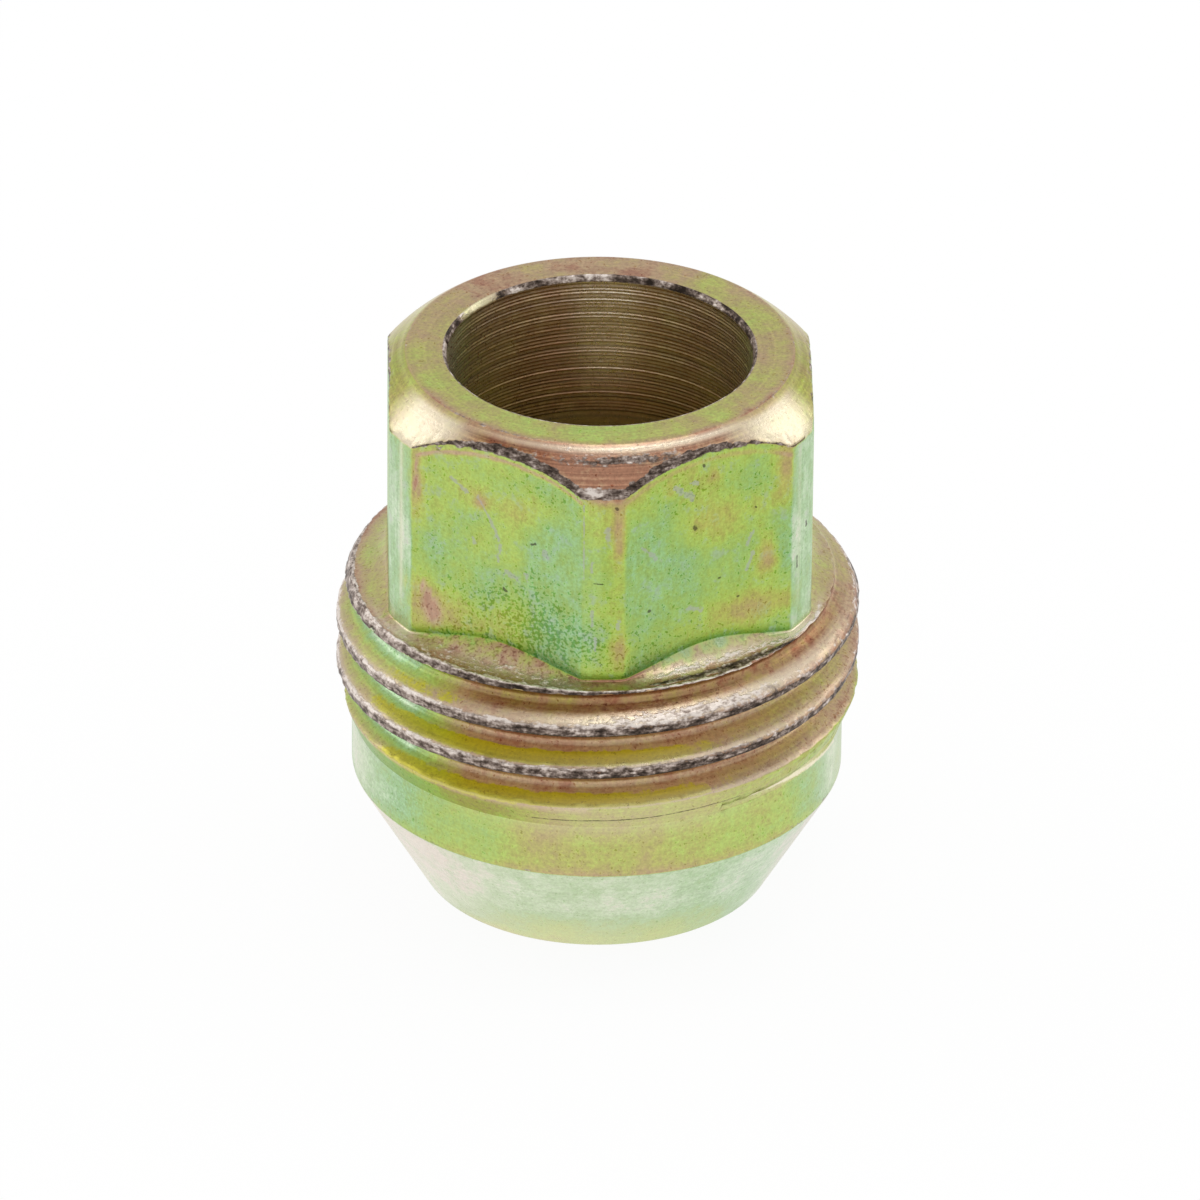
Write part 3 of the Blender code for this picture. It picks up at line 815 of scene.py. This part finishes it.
        # Bare metal scraped on the top groove's flank, laid bright as a painted highlight
        scrape_and_highlight = flank * first * self.near(21.0, 13.5, 6.0) * 0.8
        worn = np.maximum(crest * (1.0 - lean * rise(across, -0.06, 0.12) * (1.0 - rim)), scrape_and_highlight)
        tone = around(angle, (-180, 0.45), (-80, 0.36), (-50, 0.44), (-25, 0.52), (0, 0.60),
                      (30, 0.62), (60, 0.55), (110, 0.45))
        tone = (tone - 0.42 * upper * (1.0 - 0.5 * lean) + 0.2 * lower + 0.4 * self.ragged
                - 0.10 * rim * (angle < -30.0) - 0.5 * scrape_and_highlight)
        on = (self.zone == "groove") | (self.zone == "thread")
        self.lay(on, film=film + (0.05 * self.patchy + 0.12 * self.ragged * first) * (1.0 - worn),
                 # The foot's pale term near 54 degrees is a painted highlight on the ridge where the
                 # thread runs out
                 pale=np.clip(pale * (1.0 - foot) + 0.2 * foot * self.near(6, 13.0, 6.0)
                              + 0.08 * weights[0] * (1.0 - foot) + 0.45 * roof
                              + 0.4 * foot * bell(height - BAND_TOP - 0.3, 0.3)
                              * self.near(54.0, 13.0, 4.5), 0.0, 1.0),
                 worn=np.clip(worn, 0.0, 1.0), chips=np.clip(tone, 0.0, 1.0),
                 deep=(0.25 * bare * (np.abs(place) < 0.45) * (1.0 - foot)
                       + 0.35 * foot * rise(-angle, 5.0, 30.0)), gold=gold * (1.0 - foot),
                 harsh=around(angle, (-60, 0.25), (-20, 0.4), (0, 0.55), (60, 0.5)),
                 speckle=0.12 + 0.25 * weights[2] * flank, lathe=0.3 - 0.15 * foot)

    def band(self):
        angle, height = self.angle, self.height
        film = around(angle, (-180, 0.35), (-140, 0.5), (-90, 0.8), (-72, 0.84), (-54, 0.72),
                      (-44, 0.60), (-31, 0.54), (-19, 0.42), (-6, 0.34), (10, 0.34), (22, 0.39),
                      (32, 0.47), (46, 0.5), (58, 0.64), (72, 0.84), (100, 0.7), (140, 0.5))
        edge = bell(height - SEAT_HEIGHT - 0.06, 0.12)
        upper = bell(height - BAND_TOP, 0.6) * self.near(4.0, 12.9, 7.0)
        self.lay(self.zone == "band", film=film + 0.10 * self.patchy - 0.12 * edge,
                 pale=around(angle, (-180, 0.0), (-75, 0.3), (-55, 0.06), (50, 0.06), (60, 0.12),
                             (75, 0.35)) + 0.2 * upper,
                 worn=0.32 * edge, chips=0.62, harsh=0.5, speckle=0.14 + 0.1 * self.patchy,
                 lathe=0.12)

    def cone(self):
        angle, height = self.angle, self.height
        side = around(angle, (-180, 0.8), (-100, 0.95), (-62, 1.0), (-46, 0.97), (-34, 0.9),
                      (-20, 0.84), (30, 0.82), (48, 0.88), (66, 1.0), (100, 0.85))
        lower = (1.0 - rise(height, 0.6, 3.6)) * around(angle, (-180, 0.3), (-60, 0.3), (-30, 0.8),
                                                        (-5, 1.0), (25, 0.9), (45, 0.5), (70, 0.3))
        foot = (1.0 - rise(height, 0.2, 0.8)) * self.near(-40.0, 9.5, 2.6)
        on = (self.zone == "cone") | (self.zone == "seat_edge") | (self.zone == "seat")
        self.lay(on, film=side - 0.32 * lower - 0.3 * foot + 0.06 * self.patchy,
                 pale=around(angle, (-180, 0.1), (-62, 0.45), (-40, 0.37), (-20, 0.30), (0, 0.29),
                             (30, 0.18), (50, 0.14), (70, 0.3)) + 0.13 * lower,
                 chips=0.6, harsh=0.5, worn=0.3 * foot, speckle=0.10, drawn=0.15, lathe=0.15)

    def stud_hole(self):
        angle = self.angle
        film = around(angle, (-180, 0.0), (-150, 0.03), (-128, 0.25), (-100, 0.80), (-70, 0.60),
                      (-40, 0.10), (0, 0.02), (60, 0.12), (95, 0.48), (115, 0.22), (138, 0.02),
                      (160, 0.0))
        depth = TOTAL_HEIGHT - self.height
        # Painted highlight: a bright column down the back wall (shine). Painted shade: darker deeper
        # in the counterbore, and on the downward-facing start of each tool mark (cut)
        shine = self.near(176.0, COUNTERBORE_RADIUS, 1.5) * (1.0 - rise(depth, 3.0, 8.0))
        left = self.near(-100.0, COUNTERBORE_RADIUS, 4.0)
        right = self.near(95.0, COUNTERBORE_RADIUS, 4.0)
        self.lay(self.zone == "bore", film=film + 0.05 * self.patchy,
                 pale=np.clip((0.28 + 1.2 * shine + 0.4 * left + 0.15 * right)
                              * (1.0 - 0.75 * self.cut), 0.0, 1.0),
                 deep=0.15 * rise(depth, 3.5, 8.0) + 0.4 * self.cut, lathe=0.9, chips=0.5)
        inside = np.isin(self.zone, ("shoulder", "tap", "lead_in"))
        self.lay(inside, film=0.32 + 0.12 * self.patchy, deep=0.2, speckle=0.1, chips=0.5)


def finished_mesh(skin):
    mesh = bpy.data.meshes.new("lug_nut_skin")
    points = np.array(skin.points) * MM
    mesh.from_pydata(points.tolist(), [], skin.faces)
    mesh.shade_smooth()
    layer = mesh.uv_layers.new(name="OFBake")
    spots = np.array(skin.spots)
    inside = spots[:, 0] > 1.5
    across = np.where(inside, (spots[:, 0] - 2.0) * 0.5, spots[:, 0])
    lowest, highest = -8.0, OUTER_TOP + 12.0
    up = np.where(inside, highest + spots[:, 1], spots[:, 1])
    span = highest + spots[inside][:, 1].max() + 4.0 - lowest
    up = (up - lowest) / span
    layer.uv.foreach_set("vector", np.column_stack((MARGIN + across * (1 - 2 * MARGIN),
                                                    up)).ravel())
    paint = Paint(skin)
    for name in Paint.NAMES:
        mesh.attributes.new(name, "FLOAT", "POINT").data.foreach_set(
            "value", getattr(paint, name).astype(np.float32))
    return mesh


class Value:
    """A socket of the finish that can stand in a sum: each operator adds a Math node."""

    def __init__(self, finish, socket):
        self.finish = finish
        self.socket = socket

    def maths(self, operation, first, second):
        return self.finish.node("ShaderNodeMath", {"operation": operation}, {0: first, 1: second})

    def __add__(self, other):
        return self.maths("ADD", self, other)

    __radd__ = __add__

    def __sub__(self, other):
        return self.maths("SUBTRACT", self, other)

    def __rsub__(self, other):
        return self.maths("SUBTRACT", other, self)

    def __mul__(self, other):
        return self.maths("MULTIPLY", self, other)

    __rmul__ = __mul__


class Finish:
    """A material in the making."""

    def __init__(self, name):
        self.material = bpy.data.materials.new(name)
        self.material.use_nodes = True
        self.tree = self.material.node_tree
        self.shader = self.tree.nodes["Principled BSDF"]

    def node(self, kind, settings=None, values=None, out=0):
        """Adds a node: its settings first, then the numbers or links of its sockets."""
        node = self.tree.nodes.new(kind)
        for name, setting in (settings or {}).items():
            if name == "stops":
                self.set_stops(node.color_ramp, setting)
            else:
                setattr(node, name, setting)
        for name, value in (values or {}).items():
            self.fill(node.inputs[name], value)
        return Value(self, node.outputs[out])

    def fill(self, socket, value):
        """Links a socket to a value, or sets its own number or colour."""
        if isinstance(value, Value):
            self.tree.links.new(value.socket, socket)
        else:
            socket.default_value = value

    def set_stops(self, ramp, stops):
        while len(ramp.elements) < len(stops):
            ramp.elements.new(1.0)
        for element, (place, colour) in zip(ramp.elements, stops):
            element.position = place
            element.color = (*colour, 1.0)

    def painted(self, name):
        return self.node("ShaderNodeAttribute", {"attribute_name": name}, out=2)

    def clamped(self, value):
        return self.node("ShaderNodeClamp", None, {"Value": value})

    def mixed(self, share, first, second):
        """Colour that turns from first to second."""
        return self.node("ShaderNodeMix", {"data_type": "RGBA"},
                         {0: share, 6: first, 7: second}, out=2)

    def vector(self, operation, first, second, out=0):
        return self.node("ShaderNodeVectorMath", {"operation": operation},
                         {0: first, 1: second}, out=out)

    def part(self, place, axis):
        return self.node("ShaderNodeSeparateXYZ", None, {0: place}, out=axis)

    def scaled(self, vector, scale):
        return self.node("ShaderNodeVectorMath", {"operation": "SCALE"},
                         {0: vector, "Scale": scale})

    def gamma(self, colour, power):
        return self.node("ShaderNodeGamma", None, {"Color": colour, "Gamma": power})

    def grain(self, place, scale, detail=2.0, roughness=0.5):
        return self.node("ShaderNodeTexNoise", None,
                         {"Vector": place, "Scale": scale, "Detail": detail,
                          "Roughness": roughness})

    def over(self, value, level, sharpness):
        """Mask of where a value is over a level, with a soft edge."""
        return self.clamped((value - level) * sharpness + 0.5)

    def set(self, name, value):
        self.fill(self.shader.inputs[name], value)


def plain(red, green, blue):
    """A colour as it looks, 0 to 255, turned into the light that the shader works in."""
    def linear(level):
        level /= 255.0
        return level / 12.92 if level <= 0.04045 else ((level + 0.055) / 1.055) ** 2.4
    return tuple(linear(level) for level in (red, green, blue))


def painted_with(red, green, blue):
    """The same colour for a socket that also takes an opacity."""
    return (*plain(red, green, blue), 1.0)


# Colours of the plating as its film gets thicker, from bare copper pink to a washed pink
FILM = ((0.00, plain(178, 131, 106)), (0.12, plain(193, 164, 130)),
        (0.25, plain(190, 174, 118)), (0.38, plain(188, 190, 106)),
        (0.50, plain(182, 204, 106)), (0.62, plain(167, 198, 117)),
        (0.75, plain(160, 200, 147)), (0.88, plain(196, 219, 186)),
        (1.00, plain(228, 218, 212)))

# Bare metal, from black-brown pits to pink-white glints
BARE = ((0.18, plain(50, 42, 37)), (0.38, plain(92, 79, 71)), (0.52, plain(140, 125, 116)),
        (0.66, plain(192, 177, 167)), (0.84, plain(242, 231, 222)))

# Grey knocks and scratches: start and end as angle and height, and half width
SCUFFS = (
    ((-43.7, 27.64), (-39.2, 27.06), 0.12), ((-35.6, 26.9), (-30.6, 25.39), 0.10),
    ((-30.6, 25.39), (-28.5, 24.44), 0.10), ((-28.5, 24.44), (-29.4, 23.44), 0.12),
    ((-26.9, 22.92), (-23.5, 22.69), 0.16), ((-20.8, 23.1), (-20.6, 22.7), 0.13),
    ((-15.3, 24.7), (-14.6, 24.4), 0.16), ((-37.0, 24.4), (-36.6, 24.2), 0.13),
    ((-4.9, 28.1), (-4.8, 23.7), 0.05), ((-2.8, 24.75), (-2.8, 24.2), 0.09),
    ((-2.7, 21.83), (-2.7, 20.99), 0.08), ((-2.0, 20.3), (-1.9, 19.5), 0.08),
    ((1.0, 26.7), (1.0, 26.0), 0.20), ((3.6, 21.3), (3.6, 20.8), 0.12),
    ((19.4, 28.2), (24.5, 27.5), 0.22), ((24.0, 28.3), (26.0, 28.2), 0.12),
    ((9.7, 25.3), (14.9, 24.2), 0.13), ((43.8, 24.4), (41.5, 23.7), 0.12),
    ((43.6, 23.1), (41.6, 22.2), 0.12), ((23.6, 20.9), (27.7, 20.6), 0.14),
)

# Dark pits on the flats, and the dark line where the thread runs out
PITS = (
    ((25.2, 25.62), (25.6, 25.52), 0.16), ((28.0, 29.16), (28.1, 29.1), 0.10),
    ((33.1, 22.18), (33.4, 22.18), 0.09), ((11.8, 21.44), (12.0, 21.42), 0.10),
    ((39.1, 20.77), (39.4, 20.77), 0.08), ((3.1, 27.93), (3.2, 27.88), 0.12),
    ((-2.3, 23.5), (-0.1, 23.46), 0.04),
    ((44.2, 25.8), (44.4, 25.75), 0.08), ((61.4, 23.6), (61.6, 23.4), 0.11),
    ((57.0, 21.98), (57.1, 21.31), 0.08), ((-19.2, 24.97), (-18.2, 25.05), 0.08),
    ((-27.6, 21.9), (-26.8, 21.8), 0.10),
    ((-16.0, 9.84), (-9.0, 9.88), 0.04), ((-9.0, 9.88), (-2.0, 9.93), 0.05),
    ((-2.0, 9.93), (5.0, 9.97), 0.06), ((5.0, 9.97), (12.0, 10.02), 0.06),
    ((12.0, 10.02), (19.0, 10.12), 0.05), ((19.0, 10.12), (26.0, 10.2), 0.05),
    ((26.0, 10.2), (33.0, 10.22), 0.04),
)

# Painted highlight: cream line on the ridge where the thread runs out on the right
RUNOUT_HIGHLIGHTS = (
    ((36.0, 9.86), (42.0, 9.78), 0.07), ((42.0, 9.78), (48.0, 9.68), 0.11),
    ((48.0, 9.68), (54.0, 9.57), 0.14), ((54.0, 9.57), (60.0, 9.47), 0.15),
    ((60.0, 9.47), (66.0, 9.37), 0.13), ((66.0, 9.37), (73.0, 9.24), 0.10),
)


def spot_at(angle, height):
    """Point of the wall, or of the flange below it, at an angle in degrees and a height."""
    turn = math.radians(angle)
    radius = wall_radius(turn) if height > FLANGE_TOP else BAND_RADIUS
    if BAND_TOP < height < RIM_LOW:
        radius = thread_radius(turn / math.tau, height)
    return (radius * math.sin(turn), -radius * math.cos(turn), height)


def marks(finish, place, strokes):
    """How far a point is from a set of short strokes, in each stroke's own half widths."""
    total = 9.0
    for start, end, width in strokes:
        first, last = Vector(spot_at(*start)), Vector(spot_at(*end))
        run = (last - first).length
        way = (last - first) / run
        offset = way.dot(first)
        along = finish.node("ShaderNodeClamp", None,
                            {"Value": finish.vector("DOT_PRODUCT", place, tuple(way), out=1),
                             "Min": offset, "Max": offset + run})
        nearest = finish.node("ShaderNodeVectorMath", {"operation": "MULTIPLY_ADD"},
                              {0: along, 1: tuple(way), 2: tuple(first - way * offset)})
        distance = finish.vector("DISTANCE", place, nearest, out=1) * (1.0 / width)
        total = finish.node("ShaderNodeMath", {"operation": "MINIMUM"}, {0: total, 1: distance})
    return total


def yellow_zinc():
    """Iridescent plating over forged and turned steel, with its wear."""
    finish = Finish("yellow_zinc_plating")
    film, pale, worn, chips, harsh, speckle, deep, gold, drawn, lathe = [
        finish.painted(name) for name in Paint.NAMES]
    here = finish.node("ShaderNodeTexCoord", out=3)
    place = finish.scaled(here, 1000.0)
    level = finish.part(place, 2)
    round_way = finish.node("ShaderNodeMath", {"operation": "ARCTAN2"},
                            {0: finish.part(place, 0), 1: finish.part(place, 1) * -1.0})
    reach = finish.vector("LENGTH", finish.vector("MULTIPLY", place, (1.0, 1.0, 0.0)),
                          (0.0, 0.0, 0.0), out=1)
    turned_place = finish.node("ShaderNodeCombineXYZ", None, {0: reach, 1: level, 2: 0.0})
    # Scuffs run along the thread's helix
    dragged_place = finish.node("ShaderNodeCombineXYZ", None,
                                {0: reach, 1: level - round_way * (PITCH / math.tau),
                                 2: round_way * 5.0})
    drawn_place = finish.vector("MULTIPLY", place, (1.0, 1.0, 0.14))

    drift = finish.grain(place, 0.23, 2.0)
    mottle = finish.grain(place, 1.0, 3.0, 0.6)
    knocks = finish.grain(place, 2.4, 3.0, 0.65)
    fine = finish.grain(place, 4.6, 2.0, 0.6)
    dust = finish.grain(place, 6.2, 1.0)
    dragged = finish.grain(dragged_place, 5.2, 2.0, 0.6)
    lines = (finish.grain(drawn_place, 4.6, 2.0) - 0.5) * drawn
    rings = (finish.grain(turned_place, 6.0, 2.0) - 0.5) * lathe

    hue = (film + (drift - 0.5) * 0.28 + (mottle - 0.5) * 0.32
           + (fine - 0.5) * (0.16 + speckle * (0.5 - drawn * 0.6))
           + lines * 0.16 + rings * 0.20)
    colour = finish.node("ShaderNodeValToRGB", {"stops": FILM}, {"Fac": hue})
    colour = finish.gamma(colour, 1.0 + deep * 1.5)
    golden = finish.over(gold + (mottle - 0.5) * 0.8 + (fine - 0.5) * 0.3, 0.5, 6.0)
    colour = finish.mixed(golden * 0.92, colour, painted_with(192, 184, 10))
    shade = (1.0 + (fine - 0.5) * 0.5 + (dust - 0.5) * 0.5 + (mottle - 0.5) * 0.2 + lines * 0.4
             + rings * 1.8)
    colour = finish.scaled(colour, shade)

    # Light grey flecks where the film is thin, and dark specks of the colour round them
    flecks = finish.over(mottle + fine * 0.5, 0.90 - speckle * 0.05, 7.0) * drawn
    colour = finish.mixed(flecks * 0.5, colour, painted_with(174, 176, 170))
    specks = finish.over(dust * 0.7 + knocks * 0.3, 0.66 - speckle * 0.17, 14.0)
    colour = finish.mixed(specks * 0.75, colour, finish.gamma(colour, 2.2))
    # The cream colour stands for paler plating and for painted highlights
    colour = finish.mixed(finish.clamped(pale), colour, painted_with(252, 240, 215))

    scuffs = finish.clamped((1.0 + (knocks - 0.5) * 5.0 - marks(finish, place, SCUFFS)) * 2.0)
    colour = finish.mixed(scuffs * 0.55, colour, painted_with(178, 178, 176))
    runout_highlight = finish.clamped((1.1 + (knocks - 0.5) * 2.0 - marks(finish, place, RUNOUT_HIGHLIGHTS)) * 1.5)
    colour = finish.mixed(runout_highlight * 0.9, colour, painted_with(252, 242, 214))
    pits = finish.clamped((1.0 + (fine - 0.5) * 2.0 - marks(finish, place, PITS)) * 2.0)
    colour = finish.mixed(pits * 0.75, colour, painted_with(62, 50, 42))

    # Bare edges: grey-brown metal with black-brown chips and pink-white glints in it
    tone = ((dragged * 0.55 + fine * 0.25 + dust * 0.2 - 0.5) * (1.2 + harsh * 1.4)
            + 0.82 - chips * 0.64)
    bare = finish.node("ShaderNodeValToRGB", {"stops": BARE}, {"Fac": tone})
    # Where worn is set for a painted glint, this mask lays the bare metal's pale end as a painted
    # highlight
    rubbed_and_glint = finish.over(knocks * 0.25 + dragged * 0.35 + mottle * 0.15 + fine * 0.25,
                         0.72 - worn * 0.5, 9.0)
    colour = finish.mixed(rubbed_and_glint, colour, bare)

    height = fine * 0.35 + knocks * 0.3 + dust * 0.15 + rings * 0.5 + rubbed_and_glint * tone * 0.5
    normal = finish.node("ShaderNodeBump", None,
                         {"Strength": 0.55, "Distance": 0.00006, "Height": height})
    finish.set("Base Color", colour)
    finish.set("Roughness", finish.clamped(0.33 + (fine - 0.5) * 0.25 + rubbed_and_glint * 0.12
                                           + specks * 0.15 - pale * 0.05))
    finish.set("Metallic", 0.95)
    finish.set("Normal", normal)
    return finish.material


def placed(name, data):
    """Puts a mesh, lamp or camera in the scene."""
    item = bpy.data.objects.new(name, data)
    bpy.context.scene.collection.objects.link(item)
    return item


mesh = finished_mesh(build_skin())
mesh.materials.append(yellow_zinc())
lug_nut = placed("lug_nut_shell", mesh)
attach(lug_nut, "root")
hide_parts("lug_nut")

# Camera: its angles, what it aims at and from how far, and the nut's place beside the middle
ELEVATION = math.radians(29.8)
AZIMUTH = math.radians(-1.35)
ROLL = math.radians(0.5)
AIM = Vector((0.0, 0.0, 0.016))
DISTANCE = 0.8
PIXELS_PER_MM = 19.09
RIGHT_SHIFT = 2.1
UP_SHIFT = -6.4
camera_data = bpy.data.cameras.new("camera")
camera_data.lens = 458.16
camera_data.sensor_width = 36.0
camera = placed("camera", camera_data)
back = Vector((math.sin(AZIMUTH) * math.cos(ELEVATION), -math.cos(AZIMUTH) * math.cos(ELEVATION),
               math.sin(ELEVATION)))
turn = back.to_track_quat("Z", "Y").to_matrix() @ Matrix.Rotation(ROLL, 3, "Z")
slide = turn @ Vector((RIGHT_SHIFT / PIXELS_PER_MM, UP_SHIFT / PIXELS_PER_MM, 0.0)) * MM
camera.matrix_world = Matrix.Translation(AIM + back * DISTANCE + slide) @ turn.to_4x4()
bpy.context.scene.camera = camera


def white_floor():
    """White table: seen as white, and it still takes the nut's shadow."""
    finish = Finish("white_table")
    finish.set("Base Color", (0.9, 0.9, 0.9, 1.0))
    finish.set("Roughness", 0.9)
    seen = finish.node("ShaderNodeLightPath", out=0)
    mirrored = finish.node("ShaderNodeLightPath", out=3)
    through = finish.node("ShaderNodeLightPath", out=6)
    glow = finish.node("ShaderNodeEmission", None, {"Color": (1.0, 1.0, 1.0, 1.0),
                                                    "Strength": 1.02})
    mix = finish.node("ShaderNodeMixShader", None,
                      {0: finish.clamped(seen + mirrored + through) * 0.9,
                       1: Value(finish, finish.shader.outputs[0]), 2: glow})
    finish.tree.links.new(mix.socket, finish.tree.nodes["Material Output"].inputs["Surface"])
    return finish.material


FLOOR_HEIGHT = -0.02 * MM
FLOOR_REACH = 3.0
floor_mesh = bpy.data.meshes.new("floor")
floor_mesh.from_pydata([(across * FLOOR_REACH, onward * FLOOR_REACH, FLOOR_HEIGHT)
                        for across, onward in ((-1, -1), (1, -1), (1, 1), (-1, 1))],
                       [], [(0, 1, 2, 3)])
floor_mesh.materials.append(white_floor())
floor = placed("floor", floor_mesh)


LAMP_SIZE = 0.24
LAMP_AIM = Vector((0.0, 0.0, 0.018))


def soft_lamp(name, place, brightness):
    """Square lamp that faces the nut. Its brightness adds to the room's."""
    data = bpy.data.lights.new(name, "AREA")
    data.shape = "SQUARE"
    data.size = LAMP_SIZE
    data.energy = brightness * math.pi * LAMP_SIZE * LAMP_SIZE
    lamp = placed(name, data)
    lamp.location = place
    lamp.rotation_euler = (Vector(place) - LAMP_AIM).to_track_quat("Z", "Y").to_euler()


soft_lamp("left_back_lamp", (-0.42, 0.16, 0.22), 0.9)
soft_lamp("right_back_lamp", (0.42, 0.16, 0.22), 0.9)
soft_lamp("overhead_lamp", (0.06, 0.04, 0.50), 1.4)

world = bpy.data.worlds.new("studio")
bpy.context.scene.world = world
world.use_nodes = True
room_light = world.node_tree.nodes["Background"].inputs
room_light["Color"].default_value = (1.0, 1.0, 1.0, 1.0)
room_light["Strength"].default_value = 0.77

bpy.context.scene.view_settings.view_transform = "Standard"
